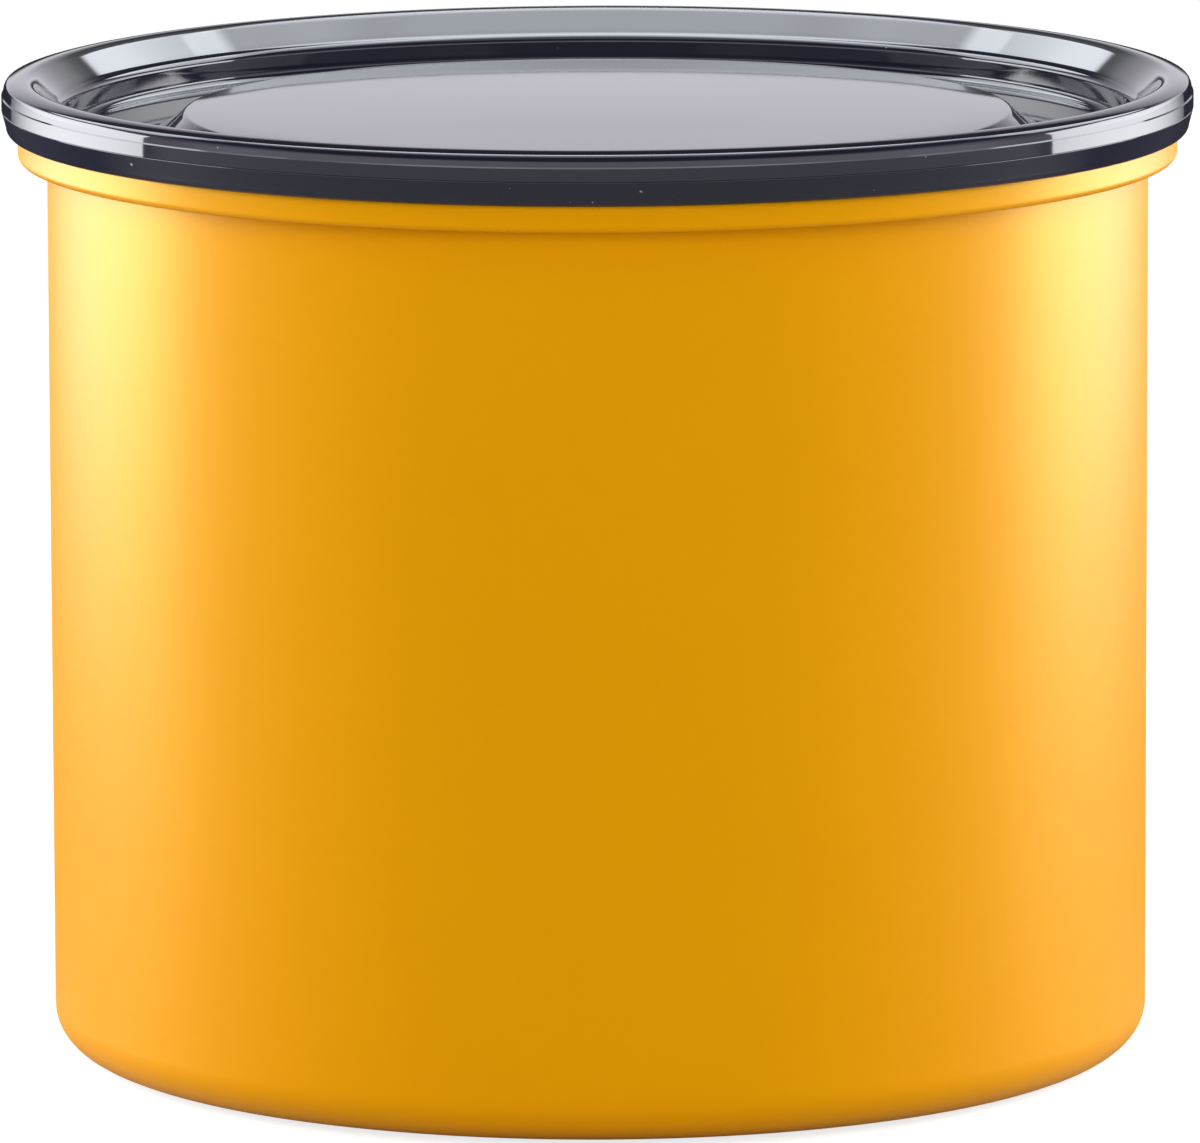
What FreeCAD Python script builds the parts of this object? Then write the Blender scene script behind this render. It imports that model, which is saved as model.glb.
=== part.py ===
import FreeCAD, Part
import math
import os
import re
import Sketcher

# A round coffee canister of drawn steel with a rolled rim, a smoke-tinted outer lid and,
# inside, a second lid that is pressed down on the coffee. That inner lid carries a gasket,
# a valve and the folding handle that works the valve.
# Frame: millimetres, +Z up, origin at the centre of the base on the table.
# The inner lid's parts are drawn from the underside of its plate and set at inner_level.

SIZES = {
    # canister
    "body_radius": 58.7,        # outside of the straight wall
    "body_wall": 0.6,
    "rim_top": 100.5,           # top of the rolled rim above the table
    "base_corner": 4.5,         # outer radius where the wall meets the base
    "stand_ring": 5.2,          # flat ring of steel round the recess under the base
    "recess_depth": 1.0,
    "curl_reach": 3.1,          # how far the rolled rim stands out from the wall
    "curl_height": 4.5,
    "curl_corner": 1.4,         # lower outer corner of the rolled rim
    "curl_gap": 0.3,            # between the rolled edge and the wall
    # non-skid pad in the recess
    "pad_stand": 0.4,           # how far the pad stands below the steel
    "pad_gap": 0.3,
    "pad_edge": 0.3,
    "pad_groove": 2.5,          # width of each moulded groove
    "pad_groove_depth": 0.3,
    "pad_grooves": 4,
    # outer lid
    "lid_fit": 0.2,             # clearance all round the rolled rim
    "lid_wall": 1.2,
    "skirt_wall": 1.5,
    "skirt_drop": 0.9,          # how far the skirt hangs below the rim top
    "skirt_taper": 0.7,
    "taper_height": 1.4,
    "crest_height": 4.25,       # lid's highest ring above the rim top
    "ridge_drop": 1.6,          # from the crest down to the fine ridge on the outside
    "ridge_step": 0.08,
    "ridge_lean": 0.15,         # how far the outside leans in above the ridge
    "crest_round": 0.95,
    "crest_inner": 2.0,         # rounding from the crest into the inner slope
    "inner_slope": 43.0,        # degrees
    "slope_drop": 2.65,         # from the crest down to the step
    "step_round": 0.5,
    "step_lean": 0.35,
    "trough_depth": 4.45,       # from the crest down to the trough
    "trough_round": 0.4,
    "trough_width": 7.6,
    "plateau_rise": 1.3,        # middle of the lid above the trough
    "plateau_run": 12.3,        # width of the rise
    "plateau_share": 0.75,      # part of the rise that is rounded outwards
    "plug_depth": 4.0,          # ring inside the mouth, below the rim top
    "plug_lead": 0.4,
    "core_depth": 1.8,          # hollow over the outer half of the rolled rim
    "seat_land": 0.5,
    # inner lid: plate
    "inner_level": 44.0,        # underside of the plate at rest
    "plate_gap": 2.8,           # from the plate to the canister wall
    "plate_thickness": 2.5,
    "plate_corner": 1.5,
    "dish_height": 13.5,
    "dish_edge": 0.5,
    "dish_corner": 1.5,
    "rim_wall": 1.5,            # behind the gasket groove
    "groove_depth": 2.0,
    "groove_level": 3.0,
    "groove_height": 8.0,
    "gusset_height": 6.0,
    "gusset_width": 1.5,
    "gusset_gap": 4.0,          # from the end of the valve cover to the gussets
    "gussets": 12,
    # inner lid: gasket
    "gasket_fit": 0.1,          # from the lips to the canister wall
    "gasket_sleeve": 1.9,
    "lip_level": 1.2,           # lower lip above the groove's foot
    "lip_pitch": 3.4,
    "lip_thickness": 0.8,
    "lip_rise": 1.1,
    "lip_tip": 0.6,
    # inner lid: valve
    "seat_radius": 11.5,
    "seat_width": 1.0,
    "seat_height": 0.8,
    "seat_gap": 0.05,
    "vent_radius": 1.2,
    "vent_circle": 9.0,
    "vents": 8,
    "post_radius": 2.8,
    "post_height": 5.5,         # above the plate
    "seal_thickness": 1.5,
    "seal_round": 0.3,
    "seal_margin": 1.0,         # seal beyond the seat
    "flange_thickness": 1.5,
    "plunger_radius": 7.0,
    "plunger_wall": 1.5,
    "plunger_cap": 1.5,
    "plunger_round": 0.5,
    "bead_reach": 0.6,          # bead that keeps the seal on the plunger
    "bead_height": 0.55,
    "valve_lift": 2.0,
    "valve_room": 0.45,
    "wire": 0.7,
    "spring_radius": 4.2,       # to the middle of the wire
    "spring_turns": 5.5,
    "spring_gap": 0.02,
    # inner lid: valve cover with the handle's ears
    "boss_height": 1.2,
    "boss_radius": 3.2,
    "cover_thickness": 2.0,
    "cover_half": 11.0,         # half of the cover's width
    "cover_corner": 5.0,
    "cover_margin": 1.6,        # cover beyond the ears
    "chamber_gap": 1.2,         # round the plunger's flange
    "chamber_wall": 1.8,
    "chamber_round": 1.2,
    "dome_wall": 1.5,           # over the plunger's flange
    "guide_fit": 0.1,
    "collar_wall": 1.9,
    "collar_height": 1.0,
    "cap_stand": 0.7,           # plunger above the collar when shut
    "ear_thickness": 4.0,
    "ear_half": 5.0,
    "ear_gap": 0.4,
    # screws
    "screw_across": 7.5,
    "screw_along": 20.5,
    "screw_radius": 1.1,
    "screw_bite": 3.0,
    "head_radius": 2.2,
    "head_height": 1.3,
    "socket_radius": 1.1,
    "socket_depth": 0.8,
    # handle
    "handle_half": 28.0,        # half of its width
    "handle_reach": 32.0,       # from the pivot to the far side of the grip
    "arm_width": 6.0,
    "grip_width": 8.0,
    "handle_thickness": 6.4,
    "handle_corner": 13.0,
    "handle_round": 2.4,
    "hub_radius": 3.5,
    "eye_radius": 4.2,
    "cam_gap": 0.1,
    "pin_radius": 1.5,
    "pin_fit": 0.06,
    "pin_reach": 5.2,           # of the pin into the handle
    "pin_edge": 0.3,
    "pin_end_gap": 0.3,
}

# Places that follow from the sizes, each written once.
WORKED_OUT = {
    "mouth_radius": "body_radius - body_wall",
    "curl_radius": "(curl_reach + body_wall) / 2",
    "curl_centre": "mouth_radius + curl_radius",
    "curl_level": "rim_top - curl_radius",
    "curl_outside": "body_radius + curl_reach",
    "curl_bottom": "rim_top - curl_height",
    "recess_level": "pad_stand + recess_depth",
    "recess_radius": "body_radius - base_corner - stand_ring - recess_depth",
    "slope_offset": "body_wall * (sqrt(2) - 1)",
    "pad_radius": "recess_radius - pad_gap",
    # outer lid
    "skirt_inside": "curl_outside + lid_fit",
    "lid_radius": "skirt_inside + skirt_wall",
    "skirt_bottom": "rim_top - skirt_drop",
    "crest": "rim_top + crest_height",
    "crest_start": "lid_radius - ridge_lean - crest_round",
    "slope_start": "crest_start - crest_inner * sin(inner_slope)",
    "slope_level": "crest - crest_inner * (1 - cos(inner_slope))",
    "step_level": "crest - slope_drop",
    "step_radius": "slope_start - (slope_level - step_level) / tan(inner_slope)",
    "step_reach": "step_round * tan((90 - inner_slope) / 2)",
    "trough_level": "crest - trough_depth",
    "trough_outside": "step_radius - step_lean",
    "trough_inside": "trough_outside - trough_width",
    "plateau_level": "trough_level + plateau_rise",
    "plateau_flat": "trough_inside - plateau_run",
    "rise_ratio": "plateau_rise / plateau_run",
    "rise_sine": "2 * rise_ratio / (1 + rise_ratio * rise_ratio)",
    "rise_cosine": "(1 - rise_ratio * rise_ratio) / (1 + rise_ratio * rise_ratio)",
    "plateau_round": "plateau_share * plateau_run / rise_sine",
    "hollow_round": "(1 - plateau_share) * plateau_run / rise_sine",
    "rise_joint": "plateau_flat + plateau_round * rise_sine",
    "rise_joint_level": "plateau_level - plateau_round * (1 - rise_cosine)",
    "plug_radius": "mouth_radius - lid_fit",
    "plug_bottom": "rim_top - plug_depth",
    # inner lid
    "plate_radius": "mouth_radius - plate_gap",
    "groove_radius": "plate_radius - groove_depth",
    "dish_inside": "groove_radius - rim_wall",
    "groove_top": "groove_level + groove_height",
    "gasket_outside": "mouth_radius - gasket_fit",
    "seat_level": "plate_thickness + seat_height",
    "seal_level": "seat_level + seat_gap",
    "flange_level": "seal_level + seal_thickness",
    "flange_radius": "seat_radius + seat_width / 2 + seal_margin",
    "chamber_radius": "flange_radius + chamber_gap",
    "chamber_top": "flange_level + flange_thickness + valve_lift + valve_room",
    "cover_level": "plate_thickness + boss_height",
    "cover_top": "cover_level + cover_thickness",
    "dome_top": "chamber_top + dome_wall",
    "collar_top": "dome_top + collar_height",
    "plunger_top": "collar_top + cap_stand",
    "plunger_inside": "plunger_top - plunger_cap",
    "cam_throw": "valve_lift / 2",
    "pivot_level": "plunger_top + cam_gap + hub_radius + cam_throw",
    "ear_inside": "handle_half + ear_gap",
    "ear_outside": "ear_inside + ear_thickness",
    "cover_end": "ear_outside + cover_margin",
    "gusset_start": "cover_end + gusset_gap",
}

doc = FreeCAD.newDocument("CoffeeCanister")
sheet = doc.addObject("Spreadsheet::Sheet", "Sizes")
for row, (word, number) in enumerate(SIZES.items(), start=1):
    sheet.set("A%d" % row, word)
    sheet.set("B%d" % row, str(number))
    sheet.setAlias("B%d" % row, word)
doc.recompute()


def formula(text):
    """A formula of size names, spelt out as an expression on the sheet."""
    def spell(match):
        word = match.group(0)
        if word in WORKED_OUT:
            return "(" + formula(WORKED_OUT[word]) + ")"
        return "Sizes." + word if word in SIZES else word
    return re.sub(r"[a-z_]+", spell, text)


def value(text):
    """What a formula of size names comes to."""
    return float(sheet.evalExpression(formula(text)))


# Drawing helpers

def new_body(name, level="0"):
    """An empty sub-part, set at its height."""
    body = doc.addObject("PartDesign::Body", name)
    body.setExpression("Placement.Base.z", formula(level))
    return body


def new_sketch(body, name, plane, height):
    """An empty sketch on one of the body's own planes, moved out by height."""
    sketch = body.newObject("Sketcher::SketchObject", name)
    planes = {feature.Role: feature for feature in body.Origin.OriginFeatures}
    sketch.AttachmentSupport = [(planes[plane], "")]
    sketch.MapMode = "FlatFace"
    sketch.setExpression("AttachmentOffset.Base.z", formula(height))
    return sketch


def bind(sketch, kind, places, text):
    """A constraint whose size is a formula."""
    index = sketch.addConstraint(Sketcher.Constraint(kind, *places, value(text)))
    sketch.setExpression("Constraints[%d]" % index, formula(text))


def pin_down(sketch, edge, point, across, along):
    """Ties a point of the sketch to its place from the origin."""
    for kind, axis, text in (("DistanceX", -2, across), ("DistanceY", -1, along)):
        if text == "0":
            sketch.addConstraint(Sketcher.Constraint("PointOnObject", edge, point, axis))
        else:
            bind(sketch, kind, (-1, 1, edge, point), text)


def outline(body, name, plane, corners, height="0"):
    """A closed sketch through its corners. A corner (across, along) is reached in a straight
    line, and a corner (across, along, radius, turn) by an arc to the left (+1) or right (-1)."""
    sketch = new_sketch(body, name, plane, height)
    spots = [FreeCAD.Vector(value(c[0]), value(c[1]), 0) for c in corners]
    edges = []
    for index, corner in enumerate(corners):
        here, there = spots[index - 1], spots[index]
        if len(corner) == 2:
            edge = sketch.addGeometry(Part.LineSegment(here, there))
            edges.append((edge, 1, 2))
            continue
        radius, chord = value(corner[2]), there - here
        rise = radius - math.sqrt(radius ** 2 - (chord.Length / 2) ** 2)
        outwards = FreeCAD.Vector(chord.y, -chord.x, 0).normalize() * corner[3]
        middle = (here + there) * 0.5 + outwards * rise
        edge = sketch.addGeometry(Part.Arc(here, middle, there))
        forwards = (sketch.getPoint(edge, 1) - here).Length < (sketch.getPoint(edge, 2) - here).Length
        edges.append((edge, 1, 2) if forwards else (edge, 2, 1))
    for index, corner in enumerate(corners):
        edge, start, end = edges[index]
        next_edge, next_start, next_end = edges[(index + 1) % len(corners)]
        sketch.addConstraint(Sketcher.Constraint("Coincident", edge, end, next_edge, next_start))
        pin_down(sketch, edge, end, corner[0], corner[1])
        if len(corner) == 4:
            bind(sketch, "Radius", (edge,), corner[2])
    return sketch


def circles(body, name, plane, centres, radius, height="0"):
    """A sketch of equal circles."""
    sketch = new_sketch(body, name, plane, height)
    for across, along in centres:
        middle = FreeCAD.Vector(value(across), value(along), 0)
        up = FreeCAD.Vector(0, 0, 1)
        edge = sketch.addGeometry(Part.Circle(middle, up, value(radius)))
        pin_down(sketch, edge, 3, across, along)
        bind(sketch, "Radius", (edge,), radius)
    return sketch


def feature(kind, body, name, sketch, **settings):
    """A PartDesign feature made from a sketch. A setting that is text is a formula."""
    made = body.newObject("PartDesign::" + kind, name)
    made.Profile = sketch
    for setting, wanted in settings.items():
        if isinstance(wanted, str) and setting not in ("SideType", "Type"):
            made.setExpression(setting, formula(wanted))
        else:
            setattr(made, setting, wanted)
    return made


def turned(name, corners, level="0"):
    """A sub-part turned about its axis from one outline."""
    body = new_body(name, level)
    sketch = outline(body, name + "_outline", "XZ_Plane", corners)
    feature("Revolution", body, name + "_turned", sketch,
            ReferenceAxis=(sketch, ["V_Axis"]), Angle=360)
    return body


def cut_down(kind, body, name, sketch, **settings):
    """A cut that has to take material away."""
    doc.recompute()
    before = body.Shape.Volume
    made = feature(kind, body, name, sketch, **settings)
    doc.recompute()
    if made.Shape.Volume > before - 1e-3:
        made.Reversed = not made.Reversed
        doc.recompute()
    if made.Shape.Volume > before - 1e-3:
        raise RuntimeError(name + " cuts nothing")
    return made


def repeated(body, name, original, count):
    """A feature repeated round the axis."""
    pattern = body.newObject("PartDesign::PolarPattern", name)
    pattern.Originals = [original]
    axes = {feature.Role: feature for feature in body.Origin.OriginFeatures}
    pattern.Axis = (axes["Z_Axis"], [""])
    pattern.Angle = 360
    pattern.setExpression("Occurrences", formula(count))
    body.Tip = pattern
    return pattern


# Canister and its base pad

turned("canister_body", [
    ("0", "recess_level"),
    ("recess_radius", "recess_level"),
    ("recess_radius + recess_depth", "pad_stand"),
    ("body_radius - base_corner", "pad_stand"),
    ("body_radius", "pad_stand + base_corner", "base_corner", 1),
    ("body_radius", "curl_level"),
    # hollow of the rolled rim
    ("curl_centre", "rim_top - body_wall", "curl_radius - body_wall", -1),
    ("curl_outside - body_wall", "curl_level", "curl_radius - body_wall", -1),
    ("curl_outside - body_wall", "curl_bottom + curl_corner"),
    ("curl_outside - curl_corner", "curl_bottom + body_wall", "curl_corner - body_wall", -1),
    ("body_radius + curl_gap", "curl_bottom + body_wall"),
    ("body_radius + curl_gap", "curl_bottom"),
    # outside of the rolled rim
    ("curl_outside - curl_corner", "curl_bottom"),
    ("curl_outside", "curl_bottom + curl_corner", "curl_corner", 1),
    ("curl_outside", "curl_level"),
    ("curl_centre", "rim_top", "curl_radius", 1),
    ("mouth_radius", "curl_level", "curl_radius", 1),
    # inside of the shell
    ("mouth_radius", "pad_stand + base_corner"),
    ("body_radius - base_corner", "pad_stand + body_wall", "base_corner - body_wall", -1),
    ("recess_radius + recess_depth + slope_offset", "pad_stand + body_wall"),
    ("recess_radius + slope_offset", "recess_level + body_wall"),
    ("0", "recess_level + body_wall"),
])

pad_corners = [("0", "0")]
for groove in range(1, SIZES["pad_grooves"] + 1):
    middle = "pad_radius * %d / (pad_grooves + 1)" % groove
    pad_corners += [
        (middle + " - pad_groove / 2", "0"),
        (middle + " - pad_groove / 2", "pad_groove_depth"),
        (middle + " + pad_groove / 2", "pad_groove_depth"),
        (middle + " + pad_groove / 2", "0"),
    ]
pad_corners += [
    ("pad_radius - pad_edge", "0"),
    ("pad_radius", "pad_edge"),
    ("pad_radius", "recess_level"),
    ("0", "recess_level"),
]
turned("base_pad", pad_corners)


# Outer lid: one moulding that hangs over the rolled rim and plugs the mouth

turned("outer_lid", [
    # underside
    ("0", "plateau_level - lid_wall"),
    ("plateau_flat", "plateau_level - lid_wall"),
    ("rise_joint - lid_wall * rise_sine", "rise_joint_level - lid_wall * rise_cosine",
     "plateau_round - lid_wall", -1),
    ("trough_inside", "trough_level - lid_wall", "hollow_round + lid_wall", 1),
    ("plug_radius - lid_wall", "trough_level - lid_wall"),
    # ring inside the mouth
    ("plug_radius - lid_wall", "plug_bottom"),
    ("plug_radius - plug_lead", "plug_bottom"),
    ("plug_radius", "plug_bottom + plug_lead"),
    ("plug_radius", "curl_level"),
    # seat on the rolled rim, and the hollow outside it
    ("curl_centre", "rim_top + lid_fit", "curl_radius + lid_fit", -1),
    ("curl_centre + seat_land", "rim_top + lid_fit"),
    ("curl_centre + seat_land", "rim_top + core_depth"),
    ("skirt_inside", "rim_top + core_depth"),
    # skirt and crest
    ("skirt_inside", "skirt_bottom"),
    ("lid_radius - skirt_taper", "skirt_bottom"),
    ("lid_radius", "skirt_bottom + taper_height"),
    ("lid_radius", "crest - ridge_drop"),
    ("lid_radius - ridge_step", "crest - ridge_drop + ridge_step"),
    ("lid_radius - ridge_lean", "crest - crest_round"),
    ("crest_start", "crest", "crest_round", 1),
    ("slope_start", "slope_level", "crest_inner", 1),
    # inner slope, step and trough
    ("step_radius + step_reach * cos(inner_slope)", "step_level + step_reach * sin(inner_slope)"),
    ("step_radius", "step_level - step_reach", "step_round", 1),
    ("trough_outside", "trough_level + trough_round"),
    ("trough_outside - trough_round", "trough_level", "trough_round", -1),
    ("trough_inside", "trough_level"),
    # gentle rise to the flat middle
    ("rise_joint", "rise_joint_level", "hollow_round", -1),
    ("plateau_flat", "plateau_level", "plateau_round", 1),
    ("0", "plateau_level"),
])


# Inner lid: plate with the gasket groove, the valve seat and the vents

plate = turned("inner_lid_plate", [
    ("0", "0"),
    ("plate_radius - plate_corner", "0"),
    ("plate_radius", "plate_corner", "plate_corner", 1),
    ("plate_radius", "groove_level"),
    ("groove_radius", "groove_level"),
    ("groove_radius", "groove_top"),
    ("plate_radius", "groove_top"),
    ("plate_radius", "dish_height - dish_edge"),
    ("plate_radius - dish_edge", "dish_height"),
    ("dish_inside", "dish_height"),
    ("dish_inside", "plate_thickness + dish_corner"),
    ("dish_inside - dish_corner", "plate_thickness", "dish_corner", -1),
    ("seat_radius + seat_width / 2", "plate_thickness"),
    ("seat_radius + seat_width / 2", "seat_level"),
    ("seat_radius - seat_width / 2", "seat_level"),
    ("seat_radius - seat_width / 2", "plate_thickness"),
    ("post_radius", "plate_thickness"),
    ("post_radius", "plate_thickness + post_height"),
    ("0", "plate_thickness + post_height"),
], "inner_level")

gusset_sketch = outline(plate, "gusset_outline", "XZ_Plane", [
    ("gusset_start", "plate_thickness / 2"),
    ("dish_inside + rim_wall / 2", "plate_thickness / 2"),
    ("dish_inside + rim_wall / 2", "plate_thickness + gusset_height"),
    ("dish_inside", "plate_thickness + gusset_height"),
    ("gusset_start", "plate_thickness"),
])
gusset = feature("Pad", plate, "gusset", gusset_sketch, Length="gusset_width", SideType="Symmetric")
repeated(plate, "gusset_ring", gusset, "gussets")

screw_places = [(across + "screw_across", along + "screw_along")
                for across in ("", "-") for along in ("", "-")]
boss_sketch = circles(plate, "boss_circles", "XY_Plane", screw_places, "boss_radius",
                      "plate_thickness / 2")
feature("Pad", plate, "bosses", boss_sketch, Length="plate_thickness / 2 + boss_height")
boss_holes = circles(plate, "screw_hole_circles", "XY_Plane", screw_places, "screw_radius",
                     "cover_level")
cut_down("Pocket", plate, "screw_holes", boss_holes, Length="screw_bite")

vent_sketch = circles(plate, "vent_circles", "XY_Plane", [("vent_circle", "0")], "vent_radius",
                      "plate_thickness")
vent = cut_down("Pocket", plate, "vent", vent_sketch, Length="plate_thickness")
repeated(plate, "vent_ring", vent, "vents")

# Gasket: a sleeve in the groove with two lips that wipe the canister's wall

gasket_side = "groove_radius + gasket_sleeve"
gasket_corners = [("groove_radius", "groove_level"), (gasket_side, "groove_level")]
for lip in range(2):
    foot = "groove_level + lip_level + %d * lip_pitch" % lip
    gasket_corners += [
        (gasket_side, foot),
        ("gasket_outside", foot + " + lip_rise"),
        ("gasket_outside", foot + " + lip_rise + lip_tip"),
        (gasket_side, foot + " + lip_thickness"),
    ]
gasket_corners += [(gasket_side, "groove_top"), ("groove_radius", "groove_top")]
turned("rim_gasket", gasket_corners, "inner_level")


# Valve: a plunger with a flange, its seal, and the spring that lifts them off the seat

turned("valve_plunger", [
    ("0", "plunger_inside"),
    ("plunger_radius - plunger_wall", "plunger_inside"),
    ("plunger_radius - plunger_wall", "seal_level - bead_height"),
    ("plunger_radius + bead_reach", "seal_level - bead_height"),
    ("plunger_radius + bead_reach", "seal_level"),
    ("plunger_radius", "seal_level"),
    ("plunger_radius", "flange_level"),
    ("flange_radius", "flange_level"),
    ("flange_radius", "flange_level + flange_thickness"),
    ("plunger_radius", "flange_level + flange_thickness"),
    ("plunger_radius", "plunger_top - plunger_round"),
    ("plunger_radius - plunger_round", "plunger_top", "plunger_round", 1),
    ("0", "plunger_top"),
], "inner_level")

turned("valve_seal", [
    ("plunger_radius", "seal_level"),
    ("flange_radius - seal_round", "seal_level"),
    ("flange_radius", "seal_level + seal_round", "seal_round", 1),
    ("flange_radius", "flange_level"),
    ("plunger_radius", "flange_level"),
], "inner_level")


def coil(name, radius, wire, low, high, turns):
    """A coil spring as one unbroken round wire about the Z axis. Each quarter turn is a pair
    of arcs that meet smoothly."""
    quarters = round(turns * 4)
    rise = (high - low) / (quarters * math.pi / 2)
    spots = []
    headings = []
    for step in range(quarters + 1):
        angle = step * math.pi / 2
        spots.append(FreeCAD.Vector(radius * math.cos(angle), radius * math.sin(angle),
                                    low + rise * angle))
        heading = FreeCAD.Vector(-radius * math.sin(angle), radius * math.cos(angle), rise)
        headings.append(heading.normalize())
    arcs = []
    for step in range(quarters):
        start, end = spots[step], spots[step + 1]
        out, back = headings[step], headings[step + 1]
        chord, both, spread = end - start, out + back, 2 * (1 - out.dot(back))
        root = math.sqrt(chord.dot(both) ** 2 + spread * chord.dot(chord))
        reach = (root - chord.dot(both)) / spread
        joint = (start + end + (out - back) * reach) * 0.5
        for first, last, corner in ((start, joint, start + out * reach),
                                    (joint, end, end - back * reach)):
            weight = (last - first).Length / (2 * reach)
            middle = (first + last + corner * (2 * weight)) * (1 / (2 + 2 * weight))
            arcs.append(Part.Arc(first, middle, last).toShape())
    path = Part.Wire(arcs)
    section = Part.Wire([Part.Circle(spots[0], headings[0], wire / 2).toShape()])
    pipe = Part.BRepOffsetAPI.MakePipeShell(path)
    pipe.add(section)
    pipe.build()
    pipe.makeSolid()
    spring = doc.addObject("Part::Feature", name)
    spring.Shape = pipe.shape()
    # least gap between one turn and the next, on points along the wire
    points = [point for arc in arcs for point in arc.discretize(9)[:-1]]
    apart = len(points) * 3 // quarters
    gap = min((points[i] - points[j]).Length for i in range(len(points))
              for j in range(i + apart, len(points))) - wire
    expected = math.pi * (wire / 2) ** 2 * path.Length
    print(name, "least gap", round(gap, 3), "volume / section x length",
          round(spring.Shape.Volume / expected, 4))
    return spring


spring_low = value("plate_thickness + wire / 2 + spring_gap")
spring_high = value("plunger_inside - wire / 2 - spring_gap")
spring = coil("valve_spring", value("spring_radius"), value("wire"), spring_low, spring_high,
              value("spring_turns"))
spring.setExpression("Placement.Base.z", formula("inner_level"))


# Valve cover: a bar on four bosses, a chamber over the valve and the handle's two ears

cover = new_body("valve_cover", "inner_level")
cover_sketch = outline(cover, "cover_outline", "XY_Plane", [
    ("-(cover_half - cover_corner)", "-cover_end"),
    ("cover_half - cover_corner", "-cover_end"),
    ("cover_half", "-(cover_end - cover_corner)", "cover_corner", 1),
    ("cover_half", "cover_end - cover_corner"),
    ("cover_half - cover_corner", "cover_end", "cover_corner", 1),
    ("-(cover_half - cover_corner)", "cover_end"),
    ("-cover_half", "cover_end - cover_corner", "cover_corner", 1),
    ("-cover_half", "-(cover_end - cover_corner)"),
    ("-(cover_half - cover_corner)", "-cover_end", "cover_corner", 1),
][1:], "cover_level")
feature("Pad", cover, "cover_bar", cover_sketch, Length="cover_thickness")
chamber_circle = circles(cover, "chamber_circle", "XY_Plane", [("0", "0")], "chamber_radius",
                         "cover_level")
cut_down("Pocket", cover, "chamber_hole", chamber_circle, Length="cover_thickness")
chamber_sketch = outline(cover, "chamber_outline", "XZ_Plane", [
    ("chamber_radius", "cover_level"),
    ("chamber_radius + chamber_wall", "cover_level"),
    ("chamber_radius + chamber_wall", "dome_top - chamber_round"),
    ("chamber_radius + chamber_wall - chamber_round", "dome_top", "chamber_round", 1),
    ("plunger_radius + guide_fit + collar_wall", "dome_top"),
    ("plunger_radius + guide_fit + collar_wall", "collar_top"),
    ("plunger_radius + guide_fit", "collar_top"),
    ("plunger_radius + guide_fit", "chamber_top"),
    ("chamber_radius", "chamber_top"),
])
feature("Revolution", cover, "chamber", chamber_sketch,
        ReferenceAxis=(chamber_sketch, ["V_Axis"]), Angle=360)
for side, sign in (("left", ""), ("right", "-")):
    ear_sketch = outline(cover, side + "_ear_outline", "XZ_Plane", [
        ("-cam_throw + ear_half", "cover_level + cover_thickness / 2"),
        ("-cam_throw + ear_half", "pivot_level"),
        ("-cam_throw", "pivot_level + ear_half", "ear_half", 1),
        ("-cam_throw - ear_half", "pivot_level", "ear_half", 1),
        ("-cam_throw - ear_half", "cover_level + cover_thickness / 2"),
    ], sign + "(ear_inside + ear_thickness / 2)")
    feature("Pad", cover, side + "_ear", ear_sketch, Length="ear_thickness", SideType="Symmetric")
bore_sketch = circles(cover, "pin_bore_circle", "XZ_Plane", [("-cam_throw", "pivot_level")],
                      "pin_radius")
cut_down("Pocket", cover, "pin_bores", bore_sketch, Length="2 * cover_end",
         SideType="Symmetric")
cover_holes = circles(cover, "cover_hole_circles", "XY_Plane", screw_places, "screw_radius",
                      "cover_top")
cut_down("Pocket", cover, "cover_holes", cover_holes, Length="cover_thickness")


# Screws that hold the cover: round heads with a six-sided socket

def primitive(kind, name, **settings):
    """A Part primitive whose sizes and place are formulas."""
    made = doc.addObject("Part::" + kind, name)
    for setting, text in settings.items():
        where = {"x": "Placement.Base.x", "y": "Placement.Base.y", "z": "Placement.Base.z"}
        made.setExpression(where.get(setting, setting), formula(text))
    return made


screws = []
for count, (across, along) in enumerate(screw_places, start=1):
    name = "screw_%d_" % count
    place = {"x": across, "y": along}
    head = primitive("Cylinder", name + "head", Radius="head_radius", Height="head_height",
                     z="inner_level + cover_top", **place)
    shank = primitive("Cylinder", name + "shank", Radius="screw_radius",
                      Height="screw_bite + cover_thickness",
                      z="inner_level + cover_level - screw_bite", **place)
    socket = primitive("Prism", name + "socket", Circumradius="socket_radius",
                       Height="socket_depth",
                       z="inner_level + cover_top + head_height - socket_depth", **place)
    whole = doc.addObject("Part::Fuse", name + "whole")
    whole.Base = head
    whole.Tool = shank
    screw = doc.addObject("Part::Cut", name + "cut")
    screw.Base = whole
    screw.Tool = socket
    screws.append(screw)
cover_screws = doc.addObject("Part::Compound", "cover_screws")
cover_screws.Links = screws


# Handle, drawn about its pivot and lying towards +X. Its hub is round but set off the pivot,
# so that it presses the plunger down when the handle is folded and lets it rise when it stands.

handle = new_body("handle", "inner_level + pivot_level")
handle.setExpression("Placement.Base.x", formula("-cam_throw"))
bend = "handle_reach - handle_corner"
window_corner = "handle_corner - (arm_width + grip_width) / 2"
grip_inside = "handle_reach - grip_width"
arm_inside = "handle_half - arm_width"
bail_sketch = outline(handle, "bail_outline", "XY_Plane", [
    (bend, "-handle_half"),
    ("handle_reach", "-handle_half + handle_corner", "handle_corner", 1),
    ("handle_reach", "handle_half - handle_corner"),
    (bend, "handle_half", "handle_corner", 1),
    ("0", "handle_half"),
    ("0", arm_inside),
    (grip_inside + " - (%s)" % window_corner, arm_inside),
    (grip_inside, arm_inside + " - (%s)" % window_corner, window_corner, -1),
    (grip_inside, "-(%s - (%s))" % (arm_inside, window_corner)),
    (grip_inside + " - (%s)" % window_corner, "-(%s)" % arm_inside, window_corner, -1),
    ("0", "-(%s)" % arm_inside),
    ("0", "-handle_half"),
])
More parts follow.
